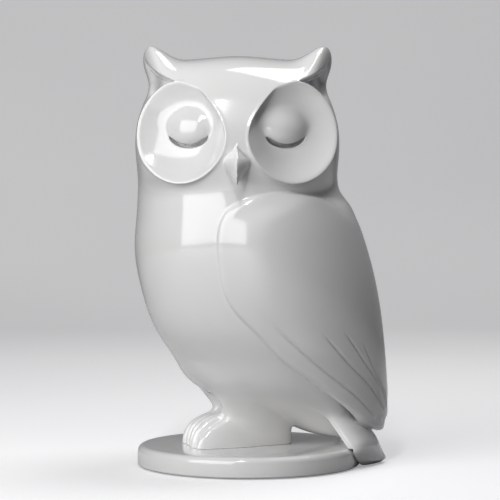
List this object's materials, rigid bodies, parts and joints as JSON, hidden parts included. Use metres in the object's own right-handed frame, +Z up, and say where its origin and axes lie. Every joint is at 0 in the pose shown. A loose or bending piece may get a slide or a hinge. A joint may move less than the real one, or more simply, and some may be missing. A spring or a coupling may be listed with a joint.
{
  "type": "owl figurine",
  "caption": "Glazed porcelain owl on a round plinth, head turned over one folded wing and eyes closed, a free-standing shelf ornament.",
  "frame": {"origin": "centre of the felt pad's underside, where the figurine stands", "axes": "+Z up, -Y the way the owl's body faces, +X the owl's left, over which its head is turned"},
  "size_m": [0.1124, 0.1266, 0.1996],
  "materials": {
    "glaze": "gloss white glaze on porcelain",
    "felt": "short-pile wool felt"
  },
  "bodies": {
    "root": {"felt_pad": "felt", "plinth": "glaze", "torso": "glaze", "left_leg": "glaze", "right_leg": "glaze", "left_wing": "glaze", "right_wing": "glaze", "tail": "glaze", "under_tail": "glaze", "head": "glaze", "left_ear_tuft": "glaze", "right_ear_tuft": "glaze", "left_eye_disc": "glaze", "right_eye_disc": "glaze", "left_eyelid": "glaze", "right_eyelid": "glaze", "beak": "glaze"}
  },
  "joints": []
}
